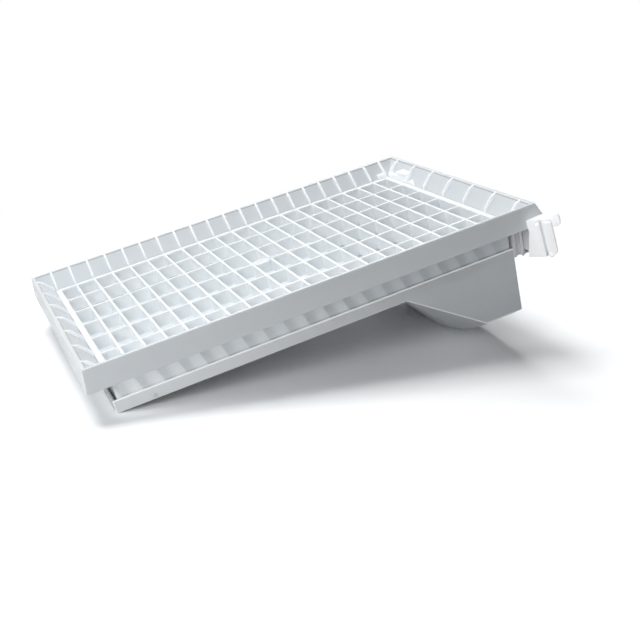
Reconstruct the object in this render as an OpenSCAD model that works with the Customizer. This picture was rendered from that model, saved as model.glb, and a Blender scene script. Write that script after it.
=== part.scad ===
// Paint roller tray: a pan with a deep well at one end, a flared hopper that stands in the pan,
// a drop-in roll-off grid and a hinged hanging clip at each corner of the well end.
// Every piece is drawn with the grid level, then tipped as the tray stands on its pan and well.

/* [Grid] */
// Length of all the grid's cells together
grid_l = 400; // [300:5:500]
// Width of all the grid's cells together
grid_w = 252; // [192:6:324]
// Number of cells along the tray
columns = 20; // [14:1:24]
// Number of cells across the tray
rows = 6; // [4:1:8]
// Thickness of a bar
bar_t = 2.4; // [1.6:0.2:4]
// Depth of the bars
bar_h = 13; // [8:0.5:14]
// Reach of the grid's rail past the line of the outermost cells
rail_out = 2.3; // [1.5:0.1:4]
// Height of the grid's rail
rail_h = 3; // [2:0.2:5]
// Radius of the moulding boss at the grid's middle
gate_r = 3.4; // [2:0.2:5]
// Width of the oval pad beside that boss
gate_w = 13; // [9:0.5:18]
// Thickness of that pad
gate_t = 3; // [2:0.2:5]

/* [Hopper] */
// Wall of the hopper
wall = 2.2; // [1.6:0.1:3]
// Height of the rim above the grid
rim_h = 16.5; // [12:0.5:24]
// Reach of the flared wall past the outermost cells, to the rim's inner edge
flare_w = 18; // [12:0.5:26]
// Width of the rim's flat top
rim_w = 3; // [2.8:0.1:6]
// Height of the skirt that turns down from the rim
skirt_h = 21.5; // [16:0.5:30]
// Outward lean of the skirt
skirt_out = 2.5; // [0:0.5:6]
// Outward lean of the skirt at the well end
end_out = 10; // [4:0.5:14]
// Thickness of a gusset rib on the flared walls
rib_t = 2; // [1.2:0.2:3]
// Height of a gusset rib above the flared wall
rib_h = 4; // [2:0.5:6]
// Drop of a rib's inner corner below the rim
rib_drop = 2.2; // [0.4:0.2:4]
// Height of the low pads in the rear corner of the well end
pad_h = 4.7; // [3:0.1:7]
// Height of the tall part of those pads
pad_tall = 10; // [7.5:0.5:13]

/* [Pan] */
// Wall of the pan
pan_t = 2.2; // [1.6:0.1:3]
// Depth of the pan's lip below the grid
lip_drop = 28; // [24:0.5:36]
// Height of the pan's side at its low end
pan_h = 12; // [8:0.5:20]
// Gap between the hopper and the pan's low end
low_gap = 1.8; // [0.4:0.2:3]
// Length of the well on the pan's side
well_l = 118; // [90:1:150]
// Length of the level part of the well's bottom
well_flat = 40; // [20:1:60]
// Depth of the well below the pan, at its sides
well_side = 53; // [30:1:70]
// Depth of the well below the pan, along its middle
well_depth = 90; // [72:1:110]

/* [Clips] */
// Distance of a clip past the end of the grid
clip_x = 7; // [5:0.5:12]
// Turn of a clip away from straight across the tray
clip_turn = 28; // [15:1:40]
// Outward lean of a clip
clip_lean = 6; // [0:1:10]
// Length of a clip, out from the skirt
clip_l = 25; // [23:0.5:32]
// Width of a clip
clip_w = 15; // [13.6:0.2:16]
// Height of a clip's top above the grid
clip_top = 4; // [0:0.5:8]
// Height of a clip
clip_h = 37.4; // [32:0.2:44]
// Thickness of a clip's top
cap_t = 3; // [2:0.2:5]
// Wall of a clip
clip_t = 2.4; // [1.8:0.2:3]
// Length of the flap's face, out from its hinge pin
flap_l = 8; // [7.5:0.5:10]
// Radius of the hinge pin
pin_r = 1.3; // [1:0.1:1.5]
// Wall of the knuckle around the hinge pin
knuckle_t = 1.3; // [1:0.1:1.6]
// Width of the groove beside the flap
groove = 1.6; // [0.8:0.1:2.4]
// Lean of the flap's end plate back towards the skirt
flap_lean = 31; // [26:1:32]
// Rounding of the flap's lower corner
flap_r = 7; // [3:0.5:7]
// Radius of the thumb tab's rounded ends
tab_r = 4.5; // [3.5:0.1:4.8]
// Height of the thumb tab
tab_h = 13; // [10:0.5:16]
// Reach of the thumb tab past the flap's face
tab_out = 2; // [1:0.5:6]
// Rise of the thumb tab above the flap
tab_up = 3.9; // [1:0.1:6]
// Step between the thumb tab and the edges of the flap's end plate
tab_step = 0.3; // [0.2:0.1:0.6]
// Height of the hinge's lower ear
lug_h = 4; // [3:0.5:6]
// Overhang of the hinge pin's head
head_out = 0.8; // [0.4:0.1:1.2]
// Height of the hinge pin's head
head_h = 1; // [0.6:0.2:2]
// Radius of the bump beside the groove
nub_r = 1.2; // [0.8:0.1:1.4]
// Reach of a clip's face back under the skirt, at its foot
wing_out = 6.5; // [3:0.5:9]
// Width of a clip's neck
neck_w = 16; // [15.5:0.5:20]
// Depth of the neck's foot below the grid
neck_drop = 38; // [34:0.5:44]
// Thickness of the tongue that holds a clip in the hopper
tongue_t = 10; // [6:0.5:12]
// Height of that tongue
tongue_h = 11; // [8:0.5:12]
// Overhang of the catch on that tongue
catch_out = 1.5; // [0.5:0.5:3]

/* [Fits] */
// Gap between pieces that lift or swing apart
fit = 0.4; // [0.3:0.1:0.8]
// Gap around a hinge pin in its flap
pin_gap = 0.06; // [0.02:0.01:0.1]
// Gap around a clip's tongue in the hopper
tongue_gap = 0.1; // [0:0.05:0.3]

/* [Hidden] */
$fn = 96;
pitch_x = grid_l / columns;
pitch_y = grid_w / rows;
gate_x = (floor(columns / 2) - columns / 2) * pitch_x;
gate_y = (floor(rows / 2) - rows / 2) * pitch_y;
joined = 0.5;               // overlap of shapes that are one piece
past = 1;                   // reach of a cut past the face it opens

// Offsets are measured outwards from the line of the outermost cells
collar_o = -fit;                            // outside of the collar, inside the pan
collar_i = collar_o - wall;                 // inside of the collar
bars_o = collar_i - fit;                    // ends of the deep bars
rail_i = bars_o - joined;                   // inner edge of the grid's rail
flare_i = rail_out + fit;                   // foot of the flared wall
flare_run = flare_w - flare_i;
flare_skin = wall * norm([flare_run, rim_h]) / rim_h;
rim_o = flare_w + rim_w;
skirt_o = rim_o + skirt_out;
skirt_lean = skirt_out / skirt_h;
end_o = rim_o + end_out;                    // foot of the skirt at the well end
end_lean = end_out / skirt_h;
skirt_z = rim_h - skirt_h;

// Heights, with the top of the grid at zero
ledge_z = -rail_h;
lip_z = -lip_drop;
pan_z = lip_z - pan_h;
floor_z = pan_z + pan_t;
side_z = pan_z - well_side;
mid_z = pan_z - well_depth;

// The well: a round trough under its level part, and a slope from the trough up to the pan's floor
end_x = grid_l / 2 + pan_t;
low_end = grid_l / 2 + low_gap + pan_t;
side_y = grid_w / 2 + pan_t;
kink_x = grid_l / 2 - well_l;
bend_x = grid_l / 2 - well_flat;
slope = atan2(well_side, well_l - well_flat);
sag = well_depth - well_side;
trough_r = (side_y * side_y + sag * sag) / (2 * sag);

// Clip: u runs out from the skirt along the clip's face, v across the clip from that face
clip_y = -(grid_w / 2 + skirt_o + fit);
clip_z = clip_top - clip_h;
cap_z = clip_top - cap_t;
flap_z = cap_z - fit;
neck_z = min(skirt_z, ledge_z - wall) - fit - past;
neck_x = end_x + fit;
foot_z = -neck_drop;
link_z = max(foot_z, clip_z) + past;
link_in = clip_h * sin(clip_lean) + clip_t;
hinge_u = clip_l - flap_l;
knuckle_r = pin_r + knuckle_t;
hinge_v = knuckle_r;
face_u = hinge_u - knuckle_r - groove;
core_v = hinge_v + knuckle_r + fit;
skirt_slant = tan(clip_turn);
lean = tan(flap_lean);
shell_u = (clip_t + fit) / cos(flap_lean);
core_end = clip_l - shell_u;
far_u = clip_l - clip_w * lean;
tab_u = clip_l + tab_out - tab_r;
tab_z = flap_z + tab_up - tab_r;
tab_foot = tab_z + tab_r - tab_h;
tongue_z = lip_z + fit + past;
tongue_y = -(grid_w / 2 + collar_i) + fit + catch_out;

// Resting pose: the pan's low edge and the bend of the well stand on the floor
tilt = atan2(pan_z - mid_z, bend_x + low_end);
reach = [
    turned([-grid_l / 2 - rim_o, rim_h]),
    turned([-grid_l / 2 - skirt_o, skirt_z]),
    turned([grid_l / 2 + end_o, skirt_z]),
    turned([end_x, mid_z]),
    turned(clip_point([core_end - clip_w * lean, clip_w, clip_z])),
    turned(clip_point([far_u, clip_w, clip_z + flap_r])),
    for (a = [0:90]) turned(clip_point(tab_edge(a))),
];
low_x = min([for (p = reach) p[0]]);
high_x = max([for (p = reach) p[0]]);
low_z = turned([-low_end, pan_z])[1];

// A point of the level tray, in x and z, after the tray is tipped
function turned(p) = [p[0] * cos(tilt) - p[1] * sin(tilt), p[0] * sin(tilt) + p[1] * cos(tilt)];

// A point of a clip, given in u, v and z, in x and z of the level tray
function clip_point(p) = [
    grid_l / 2 + clip_x + leaned(p)[0] * sin(clip_turn) + p[1] * cos(clip_turn),
    clip_top + leaned(p)[1]];

// The outward reach and height of a clip's point about the clip's upper edge, after the clip's lean
function leaned(p) = [
    p[0] * cos(clip_lean) - (p[2] - clip_top) * sin(clip_lean),
    p[0] * sin(clip_lean) + (p[2] - clip_top) * cos(clip_lean)];

// A point on the lower rounded end of a flap's thumb tab
function tab_edge(a) = [
    tab_u + tab_r * cos(a), clip_w - tab_step, tab_foot + tab_r - tab_r * sin(a)];

// Tips the level tray onto its pan and well, centred over its footprint
module resting() {
    translate([-(low_x + high_x) / 2, 0, -low_z]) rotate([0, -tilt, 0]) children();
}

// A slab over the whole grid, grown outwards by o
module slab(o, z0, z1) {
    translate([0, 0, (z0 + z1) / 2]) cube([grid_l + 2 * o, grid_w + 2 * o, z1 - z0], center = true);
}

// A block whose four sides lean, from offset o0 at z0 to offset o1 at z1; at the well end from e0 to e1
module leaning_slab(o0, z0, o1, z1, e0, e1) {
    wide = 2 * max(o0, o1) + 2 * past;
    long = 2 * max(o0, o1, e0, e1) + 2 * past;
    intersection() {
        rotate([90, 0, 0]) linear_extrude(height = grid_w + wide, center = true)
            leaning_side(grid_l / 2, [o0, z0], [o1, z1], e0, e1);
        rotate([90, 0, 90]) linear_extrude(height = grid_l + long, center = true)
            leaning_side(grid_w / 2, [o0, z0], [o1, z1], o0, o1);
    }
}

module leaning_side(half, low, high, e0, e1) {
    polygon([[-half - low[0], low[1]], [half + e0, low[1]], [half + e1, high[1]],
        [-half - high[0], high[1]]]);
}

// Upright copies on the two long sides, with the profile's x outwards from the outermost cells
module on_sides() {
    for (turn = [0, 180]) rotate([0, 0, turn])
        translate([0, grid_w / 2, 0]) rotate([90, 0, 90]) children();
}

// Upright copies on the two ends
module on_ends() {
    for (turn = [0, 180]) rotate([0, 0, turn])
        translate([grid_l / 2, 0, 0]) rotate([90, 0, 0]) children();
}

module rib_profile() {
    top = rim_h - rib_drop;
    polygon([[flare_i, 0], [flare_i + flare_skin / 2, 0], [flare_w + flare_skin / 2, rim_h],
        [flare_w, rim_h], [flare_i + (top - rib_h) * flare_run / rim_h, top], [flare_i, rib_h]]);
}

// Pad at the foot of a flared wall, of height h and length l
module pad(h, l) {
    back = flare_i + flare_skin / 2;
    linear_extrude(height = l, center = true)
        polygon([[flare_i, 0], [back, 0], [back + h * flare_run / rim_h, h], [flare_i, h]]);
}

module gussets() {
    for (i = [0:columns]) on_sides()
        translate([0, 0, (i - columns / 2) * pitch_x])
            linear_extrude(height = rib_t, center = true) rib_profile();
    for (j = [0:rows]) on_ends()
        translate([0, 0, (j - rows / 2) * pitch_y])
            linear_extrude(height = rib_t, center = true) rib_profile();
}

// Pads between the outer ribs in the rear corner of the well end
module corner_pads() {
    mirror([0, 1, 0]) translate([grid_l / 2, -grid_w / 2, 0]) {
        translate([0, pitch_y / 2, 0]) rotate([90, 0, 0]) pad(pad_h, pitch_y);
        translate([0, pitch_y * 3 / 4, 0]) rotate([90, 0, 0]) pad(pad_tall, pitch_y / 2);
        translate([-pitch_x / 4, 0, 0]) rotate([90, 0, -90]) pad(pad_h, pitch_x / 2);
        translate([0, pitch_y, 0]) peaked_pad();
    }
}

// Pad that rises to a peak in the panel after the corner's
module peaked_pad() {
    intersection() {
        translate([0, pitch_y / 4, 0]) rotate([90, 0, 0]) pad(pad_h, pitch_y / 2);
        rotate([90, 0, 90]) linear_extrude(height = flare_w)
            polygon([[0, 0], [pitch_y / 2, 0], [pitch_y / 4, pad_h]]);
    }
}

module paint_pan() color("whitesmoke") resting() {
    difference() {
        union() {
            pan_slab(pan_t, pan_z, lip_z);
            well(0, floor_z);
        }
        pan_slab(0, floor_z, lip_z + past);
        well(pan_t, floor_z + joined);
    }
}

// A slab over the whole pan, which is longer than the hopper at its low end
module pan_slab(o, z0, z1) {
    translate([-low_gap / 2, 0, (z0 + z1) / 2])
        cube([grid_l + low_gap + 2 * o, grid_w + 2 * o, z1 - z0], center = true);
}

// The space inside the well's outer faces, moved in by t, up to the height top
module well(t, top) {
    shift = t * tan(slope / 2);
    width = 2 * (side_y - t);
    hull() {
        intersection() {
            translate([bend_x + shift, -width / 2, mid_z - past])
                cube([end_x - t - bend_x - shift, width, top - mid_z + past]);
            translate([bend_x, 0, mid_z + trough_r]) rotate([0, 90, 0])
                cylinder(r = trough_r - t, h = 2 * well_l, center = true, $fn = 180);
        }
        translate([kink_x + shift, -width / 2, pan_z + t]) cube([joined, width, top - pan_z - t]);
    }
}

module hopper_frame() color("white") resting() {
    difference() {
        union() {
            skirt();
            flare_block(flare_i + flare_skin, rim_h - wall / 2);
            slab(flare_i + flare_skin, ledge_z - wall, joined);
            slab(collar_o, floor_z, ledge_z);
        }
        flare_block(flare_i, rim_h + past);
        slab(flare_i, ledge_z, joined);
        slab(collar_i, floor_z - past, ledge_z + joined);
        for (side = [0, 1]) mirror([0, side, 0]) tongue(tongue_gap, past);
    }
    gussets();
    corner_pads();
}

// The space between the flared walls, from offset o at the grid up to the height top
module flare_block(o, top) {
    leaning_slab(o, 0, o + top * flare_run / rim_h, top, o, o + top * flare_run / rim_h);
}

// The rim's flat top and the skirt that turns down from it
module skirt() {
    difference() {
        leaning_slab(skirt_o, skirt_z, rim_o, rim_h, end_o, rim_o);
        leaning_slab(skirt_o - wall + past * skirt_lean, skirt_z - past,
            rim_o - wall + wall * skirt_lean, rim_h - wall,
            end_o - wall + past * end_lean, rim_o - wall + wall * end_lean);
    }
}

module roll_off_grid() color("white") resting() {
    difference() {
        slab(rail_out, ledge_z, 0);
        slab(rail_i, ledge_z - past, past);
    }
    for (i = [1:columns - 1]) translate([(i - columns / 2) * pitch_x, 0, -bar_h / 2])
        cube([bar_t, grid_w + 2 * bars_o, bar_h], center = true);
    for (j = [1:rows - 1]) translate([0, (j - rows / 2) * pitch_y, -bar_h / 2])
        cube([grid_l + 2 * bars_o, bar_t, bar_h], center = true);
    translate([gate_x, gate_y, 0]) gate();
}

// Boss where the plastic entered the mould, and the oval slotted pad beside it
module gate() {
    half = gate_w / 2;
    round_r = (pitch_x * pitch_x / 4 + half * half) / gate_w;
    translate([0, 0, -bar_h]) cylinder(r = gate_r, h = bar_h);
    translate([-pitch_x / 2, 0, -gate_t]) linear_extrude(height = gate_t) difference() {
        intersection() {
            translate([0, round_r - half]) circle(r = round_r);
            translate([0, half - round_r]) circle(r = round_r);
        }
        translate([-pitch_x / 4, bar_t / 2]) square([pitch_x / 2, half - bar_t * 3 / 2]);
    }
}

// Places a shape drawn in u, v and z on the front corner of the well end
module on_clip() {
    translate([grid_l / 2 + clip_x, clip_y, clip_top]) rotate([0, -clip_lean, clip_turn - 90])
        translate([0, 0, -clip_top]) children();
}

// A clip's plan between two heights
module clip_slab(points, z0, z1) {
    translate([0, 0, z0]) linear_extrude(height = z1 - z0) polygon(points);
}

// The tongue through the hopper's end wall, grown by gap and carried on by more
module tongue(gap, more) {
    translate([grid_l / 2 + collar_i - more, tongue_y - gap, tongue_z - gap])
        cube([neck_x + joined - grid_l / 2 - collar_i + more, tongue_t + 2 * gap, tongue_h + 2 * gap]);
}

module clip_body() {
    core = [[0, 0], [face_u, 0], [face_u, core_v], [core_end - core_v * lean, core_v],
        [core_end - clip_w * lean, clip_w], [clip_w * skirt_slant, clip_w]];
    cap = [[0, 0], [clip_l, 0], [far_u, clip_w], [clip_w * skirt_slant, clip_w]];
    hollow_v = core_v + clip_t;
    back_v = clip_w - clip_t;
    back_u = core_end - clip_t - back_v * lean;
    hollow = [[clip_t * (skirt_slant + 1), clip_t], [face_u - clip_t, clip_t], [face_u - clip_t, hollow_v],
        [core_end - clip_t - hollow_v * lean, hollow_v], [back_u, back_v],
        [min(clip_w * skirt_slant + clip_t, back_u - past), back_v]];
    difference() {
        union() {
            on_clip() {
                clip_slab(cap, cap_z, clip_top);
                clip_slab(core, clip_z, cap_z + joined);
                wing();
                lug();
                translate([face_u - 2 * nub_r, 0, cap_z - nub_r]) sphere(r = nub_r, $fn = 24);
            }
            neck();
        }
        on_clip() {
            clip_slab(hollow, min(clip_z, link_z) - past, cap_z - clip_t);
            translate([hinge_u, hinge_v, clip_z - past])
                cylinder(r = pin_r, h = cap_z - clip_z + past + cap_t / 2);
        }
    }
}

// The clip's face carried back to the neck, wider towards its foot
module wing() {
    root = clip_t * skirt_slant + joined;
    translate([0, clip_t, 0]) rotate([90, 0, 0]) linear_extrude(height = clip_t)
        polygon([[joined, neck_z], [-wing_out, clip_z], [root, clip_z], [root, neck_z]]);
}

// Lower ear of the hinge, tied back to the core
module lug() {
    translate([hinge_u, hinge_v, clip_z]) cylinder(r = knuckle_r, h = lug_h);
    translate([hinge_u - knuckle_r, hinge_v, clip_z])
        cube([2 * knuckle_r, core_v - hinge_v + joined, lug_h]);
}

// Folded neck under the skirt's corner, from the hopper's end wall out to the clip
module neck() {
    front = -(grid_w / 2) - pan_t;
    back = tongue_y + tongue_t;
    fold = neck_w / 6;
    link_x = neck_x + neck_w - 2 * fold;
    difference() {
        union() {
            translate([neck_x, front, foot_z]) cube([neck_w, back - front, neck_z - foot_z]);
            translate([link_x, clip_y - link_in, link_z])
                cube([2 * fold, front - clip_y + link_in + joined, neck_z - link_z]);
            translate([link_x - fold, front, foot_z]) cylinder(r = fold, h = neck_z - foot_z);
        }
        translate([neck_x + 2 * fold, front, foot_z - past])
            cylinder(r = fold, h = neck_z - foot_z + 2 * past);
        translate([neck_x + clip_t, front + fold + clip_t, foot_z - past])
            cube([neck_w - 2 * clip_t, back - front - fold - 2 * clip_t, neck_z - foot_z + past - clip_t]);
    }
    tongue(0, 0);
    catch_plate();
}

// Snap catch on the tongue, inside the hopper's end wall
module catch_plate() {
    translate([grid_l / 2 + collar_i - clip_t, tongue_y - catch_out, tongue_z])
        cube([clip_t, tongue_t + 2 * catch_out, tongue_h]);
}

module clip_flap() {
    inner_u = clip_l - clip_t / cos(flap_lean);
    plate = [[clip_l, 0], [far_u, clip_w], [inner_u - clip_w * lean, clip_w], [inner_u, 0]];
    difference() {
        union() {
            on_clip() {
                face_plate();
                clip_slab(plate, clip_z + flap_r, flap_z);
                translate([hinge_u, hinge_v, clip_z + lug_h + fit])
                    cylinder(r = knuckle_r, h = flap_z - clip_z - lug_h - fit);
                thumb_tab();
            }
        }
        on_clip() {
            translate([hinge_u, hinge_v, clip_z - past]) {
                cylinder(r = knuckle_r + fit, h = lug_h + fit + past);
                cylinder(r = pin_r + pin_gap, h = clip_h + past);
            }
        }
    }
}

// The flap's face, with its rounded lower corner
module face_plate() {
    length = clip_l - hinge_u;
    translate([hinge_u, clip_t, clip_z]) rotate([90, 0, 0]) linear_extrude(height = clip_t) {
        translate([0, flap_r]) square([length, flap_z - clip_z - flap_r]);
        intersection() {
            translate([length - flap_r, flap_r]) circle(r = flap_r);
            square([length, flap_r + joined]);
        }
        square([length - flap_r, flap_r + joined]);
    }
}

// Thumb tab at the back of the flap's end plate, with a rounded head beside the clip's top
module thumb_tab() {
    root_u = clip_l - (clip_w - clip_t / 2) * lean - clip_t / 2 / cos(flap_lean);
    translate([0, clip_w - tab_step, 0]) rotate([90, 0, 0]) linear_extrude(height = clip_t - tab_step) {
        for (z = [tab_z, tab_foot + tab_r]) translate([tab_u, z]) circle(r = tab_r);
        translate([tab_u - tab_r, tab_foot + tab_r]) square([2 * tab_r, tab_h - 2 * tab_r]);
        translate([root_u, tab_foot]) square([tab_u - root_u, flap_z - tab_step - tab_foot]);
    }
}

module clip_pin() {
    on_clip() translate([hinge_u, hinge_v, clip_z]) {
        cylinder(r = pin_r, h = cap_z - clip_z + cap_t / 2);
        translate([0, 0, -head_h]) cylinder(r = pin_r + head_out, h = head_h);
    }
}

module front_clip_body() color("white") resting() clip_body();
module front_clip_flap() color("white") resting() clip_flap();
module front_clip_pin() color("gainsboro") resting() clip_pin();
module rear_clip_body() color("white") resting() mirror([0, 1, 0]) clip_body();
module rear_clip_flap() color("white") resting() mirror([0, 1, 0]) clip_flap();
module rear_clip_pin() color("gainsboro") resting() mirror([0, 1, 0]) clip_pin();

paint_pan();
hopper_frame();
roll_off_grid();
front_clip_body();
front_clip_flap();
front_clip_pin();
rear_clip_body();
rear_clip_flap();
rear_clip_pin();
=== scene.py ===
import math

import bmesh
import bpy
from mathutils import Matrix, Vector


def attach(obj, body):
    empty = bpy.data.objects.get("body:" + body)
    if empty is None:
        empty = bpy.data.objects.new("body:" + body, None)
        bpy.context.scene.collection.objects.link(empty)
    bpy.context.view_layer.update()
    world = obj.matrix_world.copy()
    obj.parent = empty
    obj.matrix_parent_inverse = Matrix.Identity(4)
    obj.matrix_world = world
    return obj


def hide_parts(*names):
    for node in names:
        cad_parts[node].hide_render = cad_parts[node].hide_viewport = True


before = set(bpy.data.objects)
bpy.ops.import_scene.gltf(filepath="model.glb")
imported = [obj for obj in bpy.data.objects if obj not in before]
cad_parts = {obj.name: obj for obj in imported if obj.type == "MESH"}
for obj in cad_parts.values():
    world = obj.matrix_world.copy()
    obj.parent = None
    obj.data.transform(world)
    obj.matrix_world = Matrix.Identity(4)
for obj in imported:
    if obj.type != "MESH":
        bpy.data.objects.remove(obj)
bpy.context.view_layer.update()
print("frame loaded:", len(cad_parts), "nodes")

mm = 0.001
tray = {
    "tilt": math.radians(13.888),             # as it stands on its pan and its well
    "middle": (-0.00525083, 0.0, 0.0877957),  # middle of the grid's top
    "length": 400 * mm, "width": 252 * mm,    # all the cells together
    "columns": 20, "rows": 6,
}
halfL, halfW = tray["length"] / 2, tray["width"] / 2
pitchX, pitchY = tray["length"] / tray["columns"], tray["width"] / tray["rows"]
standing = Matrix.Translation(tray["middle"]) @ Matrix.Rotation(-tray["tilt"], 4, "Y")


# camera, at the photo's viewpoint
view = {
    "place": (-0.34305, -0.9137, 0.3457),
    "turn": (71.5985, -0.427, -23.1215),      # degrees
    "lens": 55.935, "sensor": 36, "near": 0.01,
}
camera = bpy.data.objects.new("camera", bpy.data.cameras.new("camera"))
camera.location = view["place"]
camera.rotation_euler = [math.radians(a) for a in view["turn"]]
camera.data.lens = view["lens"]
camera.data.sensor_width = view["sensor"]
camera.data.clip_start = view["near"]
bpy.context.collection.objects.link(camera)
bpy.context.scene.camera = camera
bpy.context.scene.view_settings.view_transform = "Standard"
print("camera set")


class Wire:
    # one socket of a node tree; sums and products of wires add their Math nodes
    def __init__(self, tree, socket=None):
        self.tree, self.socket = tree, socket

    def add(self, kind, settings=None, inputs=None, out=0):
        made = self.tree.nodes.new(kind)
        for name, value in (settings or {}).items():
            setattr(made, name, value)
        for name, value in (inputs or {}).items():
            if isinstance(value, Wire):
                self.tree.links.new(value.socket, made.inputs[name])
            else:
                made.inputs[name].default_value = value
        return Wire(self.tree, made.outputs[out]) if made.outputs else None

    def maths(self, operation, *values):
        return self.add("ShaderNodeMath", {"operation": operation}, dict(enumerate(values)))

    def __add__(self, other):
        return self.maths("ADD", self, other)

    def __sub__(self, other):
        return self.maths("SUBTRACT", self, other)

    def __rsub__(self, other):
        return self.maths("SUBTRACT", other, self)

    def __mul__(self, other):
        return self.maths("MULTIPLY", self, other)

    __radd__ = __add__
    __rmul__ = __mul__

    def above(self, edge, soft):
        # 0 below the edge, 1 above it
        return self.add("ShaderNodeMapRange", {"interpolation_type": "SMOOTHSTEP"},
                        {"Value": self, "From Min": edge - soft, "From Max": edge + soft})

    def between(self, low, high):
        # 1 from low to high, each of them an edge and its softness
        return self.above(*low) * (1 - self.above(*high))

    def mixed(self, first, second):
        # colour that goes from first to second with this value, on the Mix node's colour sockets
        return self.add("ShaderNodeMix", {"data_type": "RGBA"}, {0: self, 6: first, 7: second}, out=2)


def levelPlace(wire):
    # coordinates of the level tray, in metres, from the grid's middle
    here = wire.add("ShaderNodeTexCoord", out="Object")
    return wire.add("ShaderNodeMapping", {"vector_type": "TEXTURE"},
                    {"Vector": here, "Location": tray["middle"], "Rotation": (0, -tray["tilt"], 0)})


def axes(wire, place):
    return [wire.add("ShaderNodeSeparateXYZ", {}, {0: place}, out=axis) for axis in "XYZ"]


def marked(wire, name):
    # a number kept on the points of the mesh
    return wire.add("ShaderNodeAttribute", {"attribute_name": name}, out="Fac")


def fromMm(edge, start=0.0):
    # an edge and its softness, given in mm from a start in metres
    return start + edge[0] * mm, edge[1] * mm


def noise(wire, place, scale, detail, stretch=None):
    if stretch:
        place = wire.add("ShaderNodeVectorMath", {"operation": "MULTIPLY"}, {0: place, 1: stretch})
    return wire.add("ShaderNodeTexNoise", {},
                    {"Vector": place, "Scale": scale, "Detail": detail}, out="Fac")


# what all the plastics share: a noise is its scale, detail and stretch, an edge its level and softness
moulding = {
    "flow": (14, 4, (0.5, 1.2, 2.2)), "flowEdge": (0.5, 0.22),            # faint flow of the melt
    "cloud": (55, 2), "cloudEdge": (0.5, 0.2), "cloudTint": 0.5,          # slow change of tint and gloss
    "cloudMiddle": 0.5, "cloudRough": 0.10,
    "scuff": (420, 3, (0.06, 1, 1)), "scuffEdge": (0.66, 0.05),           # fine rubs along the tray
    "scuffRough": 0.07, "scuffDeep": 0.5,
    "speck": (900, 1), "speckEdge": (0.79, 0.03), "dustColour": (0.46, 0.46, 0.44, 1),
    "grainDetail": 2,                                                     # spark texture of the mould
    "ripple": (160, 1), "rippleHigh": 3.0,                                # soft waviness of a moulded face
    "bumpHigh": 0.00002, "bend": 1.49,
    "milky": 1.0, "milkyRadius": (1.0, 1.0, 1.0),
    # colours of the painted glow, from none to full
    "unlit": (0, 0, 0, 1), "lit": (0.98, 0.99, 1, 1),
}


def mouldedPlastic(name, look, marks=None, through=None):
    material = bpy.data.materials.new(name)
    material.use_nodes = True
    material.node_tree.nodes.clear()
    wire = Wire(material.node_tree)
    place = levelPlace(wire)
    flow = noise(wire, place, *moulding["flow"]).above(*moulding["flowEdge"])
    cloud = noise(wire, place, *moulding["cloud"])
    scuff = noise(wire, place, *moulding["scuff"]).above(*moulding["scuffEdge"])
    speck = noise(wire, place, *moulding["speck"]).above(*moulding["speckEdge"])
    grain = noise(wire, place, look["grain"], moulding["grainDetail"])
    ripple = noise(wire, place, *moulding["ripple"])

    colour = flow.mixed(look["white"], look["shade"])
    tinted = cloud.above(*moulding["cloudEdge"]) * moulding["cloudTint"]
    colour = tinted.mixed(colour, look["tint"])
    colour = (speck * look["dust"]).mixed(colour, moulding["dustColour"])
    uneven = (cloud - moulding["cloudMiddle"]) * moulding["cloudRough"]
    roughness = look["rough"] + uneven + scuff * moulding["scuffRough"]
    if marks:
        colour, roughness = marks(wire, place, colour, roughness)
    height = grain + ripple * moulding["rippleHigh"] - scuff * moulding["scuffDeep"]
    bump = wire.add("ShaderNodeBump", {}, {"Height": height, "Strength": look["bump"],
                                           "Distance": moulding["bumpHigh"]})
    # painted light: an emitted glow stands in for light that comes through the thin milky plastic, even
    # all over where no function places it
    light = through(wire, place).mixed(moulding["unlit"], moulding["lit"]) if through else look["light"]
    shader = wire.add("ShaderNodeBsdfPrincipled", {}, {
        "Base Color": colour, "Roughness": roughness, "Normal": bump, "IOR": moulding["bend"],
        "Emission Color": light, "Emission Strength": 1.0,
        "Subsurface Weight": moulding["milky"], "Subsurface Radius": moulding["milkyRadius"],
        "Subsurface Scale": look["milkyDepth"],
    })
    wire.add("ShaderNodeOutputMaterial", {}, {"Surface": shader})
    return material


def finished(name, bm, body, node, material, smoothTo=40):
    mesh = bpy.data.meshes.new(name)
    bm.to_mesh(mesh)
    bm.free()
    mesh.shade_smooth()
    mesh.set_sharp_from_angle(angle=math.radians(smoothTo))
    mesh.materials.append(material)
    piece = bpy.data.objects.new(name, mesh)
    bpy.context.collection.objects.link(piece)
    even = piece.modifiers.new("evenFaces", "WEIGHTED_NORMAL")
    even.keep_sharp = True
    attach(piece, body)
    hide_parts(node)
    print("made", name, len(mesh.polygons), "faces")


def eased(bm, edges, width, segments=2):
    return bmesh.ops.bevel(bm, geom=edges, offset=width, offset_type="OFFSET", affect="EDGES",
                           segments=segments, profile=0.5, material=-1, clamp_overlap=False,
                           loop_slide=True)


def sharpEdges(bm, angle):
    limit = math.radians(angle)
    return [e for e in bm.edges if len(e.link_faces) == 2 and e.calc_face_angle(0) > limit]


def ofKind(made, kind):
    return [g for g in made["geom"] if isinstance(g, kind)]


def drawnOut(bm, faces, along):
    # faces carried along a vector
    made = bmesh.ops.extrude_face_region(bm, geom=faces)
    bmesh.ops.translate(bm, verts=ofKind(made, bmesh.types.BMVert), vec=along)
    return made


def prism(bm, outline, along):
    # a flat outline of a few points, carried along a vector
    drawnOut(bm, [bm.faces.new([bm.verts.new(p) for p in outline])], along)


def cutAcross(bm, xs, ys, hair=1e-7):
    # new edges across a flat mesh
    cuts = [((x, 0, 0), (1, 0, 0)) for x in xs] + [((0, y, 0), (0, 1, 0)) for y in ys]
    for at, across in cuts:
        bmesh.ops.bisect_plane(bm, geom=bm.verts[:] + bm.edges[:] + bm.faces[:], dist=hair,
                               plane_co=at, plane_no=across)


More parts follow.
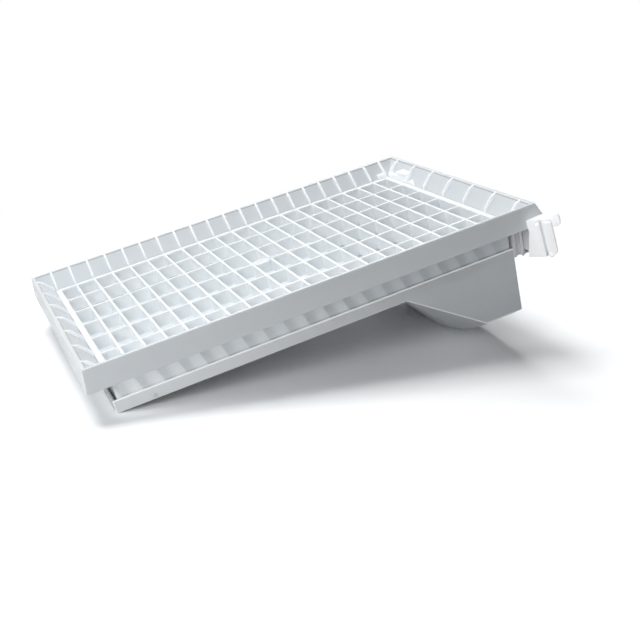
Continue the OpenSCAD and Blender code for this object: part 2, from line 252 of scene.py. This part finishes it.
def joinInto(bm, other):
    loose = bpy.data.meshes.new("loose")
    other.to_mesh(loose)
    other.free()
    bm.from_mesh(loose)
    bpy.data.meshes.remove(loose)


# hopper: rim, turned-down skirt, flared walls, ledge and collar, then its ribs
hopper = {
    # section in mm: outwards from the outermost cells, up from the grid's top, outwards at the well end
    "section": [(23.5, -5, 31), (21, 16.5, 21), (18, 16.5, 18), (2.7, 0, 2.7), (2.7, -3, 2.7),
                (-2.6, -3, -2.6), (-2.6, -37.8, -2.6), (-0.4, -37.8, -0.4), (-0.4, -5.2, -0.4),
                (5.7, -5.2, 5.7), (5.7, 0, 5.7), (19.01, 14.3, 19.6), (21.3, -5, 28.8)],
    "edge": 0.45, "edgeSteps": 3, "sharp": 20,
    "rib": [(2.7, 0.02), (4.2, 0.02), (18.9, 15.9), (18.2, 16.44), (17.9, 16.4), (12.25, 14.3), (2.7, 4)],
    "ribThick": 2.0, "ribEdge": 0.3,
    "padIn": 2.72, "padOut": 4.2, "padFoot": 0.02, "flare": (15.3, 16.5),   # wall: out over up
    "padLow": 4.7, "padTall": 10.0, "peakDeep": 4.5,
    # painted light, emitted where light would come through the thin plastic: strengths, then the slant of
    # the patches, then edges with their softness: in cells, then in mm
    "paintedGlow": {"inside": 0.16, "outside": 0.22, "patch": 0.08, "patchLeast": 0.8, "fade": 0.05,
             "rib": 0.27, "skirt": 0.085,
             "slant": 0.375, "slantFrom": 0.016, "shift": 0.0005,
             "patchFrom": (0.42, 0.24), "patchTo": (0.97, 0.03),
             "under": (-4.5, 0.5), "collarFrom": (-1.5, 0.3), "collarTo": (3, 0.5),
             "skirtFrom": (20.6, 0.3)},
    # painted shade, thin dark lines: edges with their softness in mm, how dark, and their colour
    "marks": {"lineFrom": (14.9, 0.15), "lineTo": (15.7, 0.15), "lineWithin": (18.4, 0.1), "line": 0.7,
              "seamFrom": (-27.9, 0.15), "seamTo": (-27.0, 0.3), "seam": 0.6,
              "colour": (0.40, 0.41, 0.42, 1)},
    "plastic": {"white": (0.745, 0.77, 0.787, 1), "shade": (0.72, 0.75, 0.771, 1),
                "tint": (0.735, 0.765, 0.79, 1), "rough": 0.36, "grain": 1500, "bump": 0.5,
                "dust": 0.12, "milkyDepth": 0.0025},
}


def sidePoint(side, along, o, z):
    # a point of the front, well end, back or low end: o outwards from the cells, in mm
    length, width = halfL / mm + o, halfW / mm + o
    x, y = [(along, -width), (length, along), (along, width), (-length, along)][side]
    return Vector((x, y, z)) * mm


def makeHopper(look):
    bm = bmesh.new()
    bm.verts.layers.float.new("rib")

    def corner(v, o, z, endO):
        x = halfL + endO * mm if v.co.x > 0 else -halfL - o * mm
        v.co = (x, math.copysign(halfW + o * mm, v.co.y), z * mm)

    verts = [bm.verts.new((x, y, 0)) for x, y in ((-1, -1), (1, -1), (1, 1), (-1, 1))]
    first = [bm.edges.new((verts[i], verts[(i + 1) % 4])) for i in range(4)]
    for v in verts:
        corner(v, *look["section"][0])
    ring = first
    for point in look["section"][1:]:
        made = bmesh.ops.extrude_edge_only(bm, edges=ring)
        fresh = set(ofKind(made, bmesh.types.BMVert))
        for v in fresh:
            corner(v, *point)
        ring = [e for e in ofKind(made, bmesh.types.BMEdge) if set(e.verts) <= fresh]
    bmesh.ops.bridge_loops(bm, edges=first + ring)
    bmesh.ops.recalc_face_normals(bm, faces=bm.faces)
    eased(bm, sharpEdges(bm, look["sharp"]), look["edge"] * mm, look["edgeSteps"])

    ribs = bmesh.new()
    thick = look["ribThick"]
    for side, count, pitch in ((0, tray["columns"], pitchX), (1, tray["rows"], pitchY),
                               (2, tray["columns"], pitchX), (3, tray["rows"], pitchY)):
        for i in range(count + 1):
            along = (i - count / 2) * pitch / mm
            step = sidePoint(side, along + thick, 0, 0) - sidePoint(side, along, 0, 0)
            prism(ribs, [sidePoint(side, along - thick / 2, o, z) for o, z in look["rib"]], step)
    cell, end = pitchY / mm, halfW / mm

    def padOutline(high):
        lean = high * look["flare"][0] / look["flare"][1]
        return [(look["padIn"], look["padFoot"]), (look["padOut"], look["padFoot"]),
                (look["padOut"] + lean, high), (look["padIn"], high)]

    # low pads in the rear corner of the well end
    low, tall = padOutline(look["padLow"]), padOutline(look["padTall"])
    prism(ribs, [sidePoint(1, end - cell, o, z) for o, z in low], (0, pitchY, 0))
    prism(ribs, [sidePoint(1, end - cell, o, z) for o, z in tall], (0, pitchY / 2, 0))
    prism(ribs, [sidePoint(2, (halfL - pitchX / 2) / mm, o, z) for o, z in low], (pitchX / 2, 0, 0))
    peak = [(0, look["padFoot"]), (cell / 2, look["padFoot"]), (cell / 4, look["padLow"])]
    prism(ribs, [sidePoint(1, end - cell - a, look["padIn"], z) for a, z in peak],
          (look["peakDeep"] * mm, 0, 0))
    bmesh.ops.recalc_face_normals(ribs, faces=ribs.faces)
    eased(ribs, sharpEdges(ribs, look["sharp"]), look["ribEdge"] * mm)
    ribLayer = ribs.verts.layers.float.new("rib")
    for v in ribs.verts:
        v[ribLayer] = 1
    joinInto(bm, ribs)
    bmesh.ops.transform(bm, matrix=standing, verts=bm.verts)
    return bm


def hopperPaintedGlow(wire, place):
    # painted light: the ribs and the skirt glow, the collar's inside glows, and its outside gets painted
    # patches of light between the bars, brighter towards the low end
    x, y, z = axes(wire, place)
    look = hopper["paintedGlow"]
    slanted = x - look["shift"] + (z + look["slantFrom"]) * look["slant"]
    part = wire.maths("FRACT", slanted * (1 / pitchX))
    patch = part.between(look["patchFrom"], look["patchTo"])
    wide, long = wire.maths("ABSOLUTE", y), wire.maths("ABSOLUTE", x)
    under = 1 - z.above(*fromMm(look["under"]))
    collarW, collarL = fromMm(look["collarFrom"], halfW), fromMm(look["collarFrom"], halfL)
    inside = (1 - wide.above(*collarW)) * (1 - long.above(*collarL))
    outside = wide.between(collarW, fromMm(look["collarTo"], halfW))
    fade = wire.add("ShaderNodeMapRange", {}, {"Value": x, "From Min": -halfL, "From Max": halfL,
                                               "To Min": 1.0, "To Max": look["fade"]})
    lit = (fade + look["patchLeast"]) * patch * look["patch"] + fade * fade * look["outside"]
    collar = under * (inside * look["inside"] + outside * lit)
    skirt = wide.above(*fromMm(look["skirtFrom"], halfW))
    return collar + marked(wire, "rib") * look["rib"] + skirt * look["skirt"]


def hopperPaintedShade(wire, place, colour, roughness):
    # painted shade: a thin dark line just under the rim along the top of the flared walls, and a painted
    # shadow where the collar meets the pan's lip
    x, y, z = axes(wire, place)
    look = hopper["marks"]
    line = z.between(fromMm(look["lineFrom"]), fromMm(look["lineTo"]))
    for across, half in ((x, halfL), (y, halfW)):
        line = line * (1 - wire.maths("ABSOLUTE", across).above(*fromMm(look["lineWithin"], half)))
    seam = z.between(fromMm(look["seamFrom"]), fromMm(look["seamTo"]))
    paintedShade = line * (1 - marked(wire, "rib")) * look["line"] + seam * look["seam"]
    return paintedShade.mixed(colour, look["colour"]), roughness


hopperPlastic = mouldedPlastic("hopperPlastic", hopper["plastic"], hopperPaintedShade, hopperPaintedGlow)
finished("hopperFrame", makeHopper(hopper), "hopper", "hopper_frame", hopperPlastic)


# roll-off grid: bars, rail and the moulding boss with its slotted pad
grid = {
    "bar": 2.4, "deep": 13.0, "railIn": 3.5, "railOut": 2.3, "railHigh": 3.0, "barEnd": 3.0,
    "corner": 0.8, "cornerSharp": 20, "edge": 0.35, "edgeSharp": 60,
    "flat": 0.01, "sideways": 0.5, "upright": 1,              # radians, up share of a normal, mm
    "bossRound": 3.4, "bossSides": 40, "bossUp": 0.25, "bossEdge": 0.3,
    "sprueIn": 1.6, "sprueSlope": 0.3, "sprueDeep": 0.3,      # where the sprue broke off
    "padWide": 13.0, "padSides": 48, "padThick": 3.0, "padDown": 0.15, "padEdge": 0.3,
    # the plastic's light is a painted glow, even all over
    "plastic": {"white": (0.925, 0.957, 0.974, 1), "shade": (0.90, 0.937, 0.958, 1),
                "tint": (0.915, 0.952, 0.974, 1), "rough": 0.36, "grain": 1500, "bump": 0.45,
                "dust": 0.12, "milkyDepth": 0.0012, "light": (0.054, 0.061, 0.065, 1)},
}


def makeBoss(look):
    boss = bmesh.new()
    bmesh.ops.create_cone(boss, cap_ends=True, segments=look["bossSides"], radius1=look["bossRound"] * mm,
                          radius2=look["bossRound"] * mm, depth=look["deep"] * mm)
    bmesh.ops.translate(boss, verts=boss.verts, vec=(0, 0, (look["bossUp"] - look["deep"] / 2) * mm))
    top = max(boss.faces, key=lambda f: f.calc_center_median().z)
    bmesh.ops.inset_region(boss, faces=[top], thickness=look["sprueIn"] * mm, depth=0)
    bmesh.ops.inset_region(boss, faces=[top], thickness=look["sprueSlope"] * mm,
                           depth=-look["sprueDeep"] * mm)
    eased(boss, sharpEdges(boss, look["edgeSharp"]), look["bossEdge"] * mm)
    return boss


def makePad(look, bar):
    pad = bmesh.new()
    bmesh.ops.create_circle(pad, cap_ends=True, segments=look["padSides"], radius=1)
    bmesh.ops.scale(pad, vec=(pitchX / 2, look["padWide"] / 2 * mm, 1), verts=pad.verts)
    slotX, slotLow, slotHigh = pitchX / 4, bar, look["padWide"] / 2 * mm - 3 * bar
    cutAcross(pad, (-slotX, slotX), (slotLow, slotHigh))
    middles = [(f, f.calc_center_median()) for f in pad.faces]
    slot = [f for f, c in middles if abs(c.x) < slotX and slotLow < c.y < slotHigh]
    bmesh.ops.delete(pad, geom=slot, context="FACES_ONLY")
    drawnOut(pad, pad.faces[:], (0, 0, -look["padThick"] * mm))
    bmesh.ops.recalc_face_normals(pad, faces=pad.faces)
    eased(pad, sharpEdges(pad, look["edgeSharp"]), look["padEdge"] * mm)
    bmesh.ops.translate(pad, verts=pad.verts, vec=(-pitchX / 2, 0, -look["padDown"] * mm))
    return pad


def makeGrid(look):
    bm = bmesh.new()
    bmesh.ops.create_grid(bm, x_segments=tray["columns"], y_segments=tray["rows"], size=0.5)
    bmesh.ops.scale(bm, vec=(tray["length"], tray["width"], 1), verts=bm.verts)
    cells = list(bm.faces)
    bar = look["bar"] / 2 * mm
    bmesh.ops.inset_individual(bm, faces=cells, thickness=bar, use_even_offset=True)
    bmesh.ops.delete(bm, geom=cells, context="FACES_ONLY")
    for v in bm.verts:                       # the outermost bars become the rail
        for axis, half in ((0, halfL), (1, halfW)):
            inwards = half - abs(v.co[axis])
            if inwards < bar / 2:
                v.co[axis] = math.copysign(half + look["railOut"] * mm, v.co[axis])
            elif inwards < bar * 1.5:
                v.co[axis] = math.copysign(half - look["railIn"] * mm, v.co[axis])
    endX, endY = halfL - look["barEnd"] * mm, halfW - look["barEnd"] * mm
    cutAcross(bm, (endX, -endX), (endY, -endY))
    made = drawnOut(bm, bm.faces[:], (0, 0, -look["railHigh"] * mm))
    under = [(f, f.calc_center_median()) for f in ofKind(made, bmesh.types.BMFace)]
    bars = [f for f, c in under if abs(c.x) < endX and abs(c.y) < endY]
    drawnOut(bm, bars, (0, 0, (look["railHigh"] - look["deep"]) * mm))
    bmesh.ops.delete(bm, geom=bars, context="FACES")         # left inside the bars
    bmesh.ops.recalc_face_normals(bm, faces=bm.faces)
    # the sides of the bars are made whole before their edges are eased
    seams = [e for e in bm.edges if e.is_manifold and e.calc_face_angle(0) < look["flat"]
             and abs(e.link_faces[0].normal.z) < look["sideways"]]
    bmesh.ops.dissolve_edges(bm, edges=seams, use_verts=True)
    upright = [e for e in sharpEdges(bm, look["cornerSharp"])
               if abs(e.verts[0].co.z - e.verts[1].co.z) > look["upright"] * mm and not e.is_convex]
    eased(bm, upright, look["corner"] * mm)
    eased(bm, [e for e in sharpEdges(bm, look["edgeSharp"]) if e.is_convex], look["edge"] * mm)
    joinInto(bm, makeBoss(look))
    joinInto(bm, makePad(look, bar))
    bmesh.ops.transform(bm, matrix=standing, verts=bm.verts)
    return bm


gridPlastic = mouldedPlastic("gridPlastic", grid["plastic"])
finished("rollOffGrid", makeGrid(grid), "grid", "roll_off_grid", gridPlastic)


def softenedCopy(node, width, angle=25, segments=2, hair=1e-6, flat=0.4):
    # merged copy of a solid, its flats made whole and its sharp edges eased
    bm = bmesh.new()
    bm.from_mesh(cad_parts[node].data)
    edgeLayer = bm.verts.layers.float.new("edge")
    bmesh.ops.remove_doubles(bm, verts=bm.verts, dist=hair)
    bmesh.ops.dissolve_limit(bm, angle_limit=math.radians(flat), verts=bm.verts, edges=bm.edges)
    made = eased(bm, sharpEdges(bm, angle), width * mm, segments)
    rounded = set(made["faces"])
    for v in made["verts"]:                  # 1 along the middle of each eased edge
        v[edgeLayer] = float(rounded.issuperset(v.link_faces))
    return bm


# pan with its deep well
pan = {
    "edge": 0.7, "edgeSteps": 3, "sharp": 20,
    "sink": {"spot": (-0.1675, -0.1282, -0.0367), "round": 0.0022, "soft": 0.0008,
             "noise": (700, 2), "noiseMiddle": 0.5, "ragged": 0.0016,
             "colour": (0.50, 0.50, 0.46, 1), "strength": 0.55, "rough": 0.2},
    # painted light: strengths, then where the shallow end fades out, then edges with their softness in mm
    "paintedGlow": {"shallow": 0.19, "edge": 0.35, "fadeFrom": -0.2, "fadeTo": 0.12,
             "side": (1.5, 0.4), "lip": (-28.8, 0.4)},
    "plastic": {"white": (0.865, 0.887, 0.90, 1), "shade": (0.84, 0.867, 0.885, 1),
                "tint": (0.855, 0.882, 0.905, 1), "rough": 0.40, "grain": 1200, "bump": 0.5,
                "dust": 0.14, "milkyDepth": 0.0015},
}


def panMarks(wire, place, colour, roughness):
    # dull spot on the front side
    look = pan["sink"]
    away = wire.add("ShaderNodeVectorMath", {"operation": "DISTANCE"},
                    {0: place, 1: look["spot"]}, out="Value")
    ragged = (noise(wire, place, *look["noise"]) - look["noiseMiddle"]) * look["ragged"]
    spot = 1 - (away + ragged).above(look["round"], look["soft"])
    return (spot * look["strength"]).mixed(colour, look["colour"]), roughness + spot * look["rough"]


def panPaintedGlow(wire, place):
    # painted light: a glow on the front and back sides, brighter at the shallow end, and painted
    # highlights along the lip and on the eased edges
    x, y, z = axes(wire, place)
    look = pan["paintedGlow"]
    side = wire.maths("ABSOLUTE", y).above(*fromMm(look["side"], halfW))
    shallow = 1 - wire.add("ShaderNodeMapRange", {}, {"Value": x, "From Min": look["fadeFrom"],
                                                      "From Max": look["fadeTo"]})
    lip = wire.maths("MAXIMUM", marked(wire, "edge"), z.above(*fromMm(look["lip"])))
    return side * (shallow * look["shallow"] + lip * look["edge"])


panPlastic = mouldedPlastic("panPlastic", pan["plastic"], panMarks, panPaintedGlow)
finished("paintPan", softenedCopy("paint_pan", pan["edge"], pan["sharp"], pan["edgeSteps"]), "pan",
         "paint_pan", panPlastic)


# hanging clips: body, flap and pin at each corner of the well end
clip = {
    "edge": 0.3,
    # painted light, emitted on the clip's faces: where the clip's face starts and how it stands, in
    # degrees, then edges with their softness in mm
    "paintedGlow": {"start": (0.207, 0.1499, 0.004), "turn": 28, "lean": 6, "strength": 0.33,
             "rearLess": 0.75, "rearFrom": (0, 10),   # lit from its seen side, so less comes through
             "face": (-0.5, 0.5), "wing": (-8, 0.5), "wingBehind": (3, 0.3),
             "grooveFrom": (12.7, 0.2), "grooveTo": (14.6, 0.2)},
    "plastic": {"white": (0.93, 0.94, 0.95, 1), "shade": (0.905, 0.92, 0.935, 1),
                "tint": (0.92, 0.935, 0.95, 1), "rough": 0.38, "grain": 1500, "bump": 0.45,
                "dust": 0.10, "milkyDepth": 0.0015},
    # the pin's light is a painted glow, even all over
    "pin": {"white": (0.74, 0.75, 0.76, 1), "shade": (0.70, 0.715, 0.73, 1),
            "tint": (0.72, 0.74, 0.76, 1), "rough": 0.30, "grain": 2600, "bump": 0.3,
            "dust": 0.10, "milkyDepth": 0.002, "light": (0.1, 0.101, 0.102, 1)},
}


def clipPaintedGlow(wire, place):
    # painted glow on all but the neck and the groove beside the flap, weaker on the rear clip
    x, y, z = axes(wire, place)
    look = clip["paintedGlow"]
    startX, startY, startZ = look["start"]
    turn, lean = math.radians(look["turn"]), math.radians(look["lean"])
    endways, sideways = x - startX, wire.maths("ABSOLUTE", y) - startY
    leaned = (z - startZ) * math.sin(lean)
    along = endways * math.sin(turn) + sideways * math.cos(turn) + leaned
    behind = endways * math.cos(turn) - sideways * math.sin(turn)
    groove = along.between(fromMm(look["grooveFrom"]), fromMm(look["grooveTo"]))
    wing = along.above(*fromMm(look["wing"])) * (1 - behind.above(*fromMm(look["wingBehind"])))
    outer = wire.maths("MAXIMUM", along.above(*fromMm(look["face"])), wing)
    front = 1 - y.above(*fromMm(look["rearFrom"])) * look["rearLess"]
    return (1 - groove) * outer * front * look["strength"]


clipPlastic = mouldedPlastic("clipPlastic", clip["plastic"], through=clipPaintedGlow)
pinPlastic = mouldedPlastic("pinPlastic", clip["pin"])
for end in ("front", "rear"):
    finished(end + "ClipBody", softenedCopy(end + "_clip_body", clip["edge"]), "hopper",
             end + "_clip_body", clipPlastic)
    finished(end + "ClipFlap", softenedCopy(end + "_clip_flap", clip["edge"]), end + "_flap",
             end + "_clip_flap", clipPlastic)
    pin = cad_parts[end + "_clip_pin"]
    pin.data.materials.clear()
    pin.data.materials.append(pinPlastic)


# floor and light
studio = {
    "half": 6, "white": (1, 1, 1, 1),
    "floor": (0.55, 0.55, 0.55, 1), "floorSeen": (1.68, 1.68, 1.68, 1),
    "whiteFrom": 0.37, "whiteTo": 0.75,      # metres from the tray
    "world": 0.05, "worldColour": (0.93, 0.97, 1.0, 1),
    "aim": (0, 0, 0.08),
    "lamps": {   # place, side, watts, colour
        "top": ((-0.45, 0.12, 1.37), 0.8, 10.8, (0.985, 0.99, 1.0)),
        "back": ((0.12, 0.87, 1.15), 0.8, 8.6, (0.985, 0.99, 1.0)),
        "fill": ((-0.72, -0.59, 0.34), 0.35, 2.8, (0.96, 0.98, 1.0)),
    },
}


def seenRays(wire):
    # 1 for what the camera sees, straight on, mirrored or through something
    straight, mirrored, through = [wire.add("ShaderNodeLightPath", out="Is " + kind + " Ray")
                                   for kind in ("Camera", "Glossy", "Transmission")]
    return wire.maths("MINIMUM", straight + mirrored + through, 1.0)


def makeFloor(look):
    bm = bmesh.new()
    bmesh.ops.create_grid(bm, x_segments=1, y_segments=1, size=look["half"])
    mesh = bpy.data.meshes.new("floor")
    bm.to_mesh(mesh)
    bm.free()
    floor = bpy.data.objects.new("floor", mesh)
    bpy.context.collection.objects.link(floor)
    material = bpy.data.materials.new("floorPaper")
    material.use_nodes = True
    material.node_tree.nodes.clear()
    wire = Wire(material.node_tree)
    here = wire.add("ShaderNodeTexCoord", out="Object")
    away = wire.add("ShaderNodeVectorMath", {"operation": "LENGTH"}, {0: here}, out="Value")
    far = wire.add("ShaderNodeMapRange", {"interpolation_type": "SMOOTHSTEP"},
                   {"Value": away, "From Min": look["whiteFrom"], "From Max": look["whiteTo"]})
    paper = wire.add("ShaderNodeBsdfDiffuse", {}, {"Color": look["floor"]})
    bright = wire.add("ShaderNodeBsdfDiffuse", {}, {"Color": look["floorSeen"]})
    white = wire.add("ShaderNodeEmission", {}, {"Color": look["white"], "Strength": 1.0})
    shown = wire.add("ShaderNodeMixShader", {}, {0: far, 1: bright, 2: white})
    whole = wire.add("ShaderNodeMixShader", {}, {0: seenRays(wire), 1: paper, 2: shown})
    wire.add("ShaderNodeOutputMaterial", {}, {"Surface": whole})
    mesh.materials.append(material)


def makeLight(look):
    world = bpy.data.worlds.new("studio")
    bpy.context.scene.world = world
    world.use_nodes = True
    world.node_tree.nodes.clear()
    wire = Wire(world.node_tree)
    soft = wire.add("ShaderNodeBackground", {}, {"Color": look["worldColour"], "Strength": look["world"]})
    white = wire.add("ShaderNodeBackground", {}, {"Color": look["white"], "Strength": 1.0})
    whole = wire.add("ShaderNodeMixShader", {}, {0: seenRays(wire), 1: soft, 2: white})
    wire.add("ShaderNodeOutputWorld", {}, {"Surface": whole})

    for name, (place, side, watts, colour) in look["lamps"].items():
        lamp = bpy.data.lights.new(name, "AREA")
        lamp.shape, lamp.size, lamp.energy, lamp.color = "SQUARE", side, watts, colour
        holder = bpy.data.objects.new(name, lamp)
        holder.location = place
        facing = Vector(place) - Vector(look["aim"])
        holder.rotation_euler = facing.to_track_quat("Z", "Y").to_euler()
        holder.visible_camera = False
        bpy.context.collection.objects.link(holder)


makeFloor(studio)
makeLight(studio)
print("floor and lamps set")
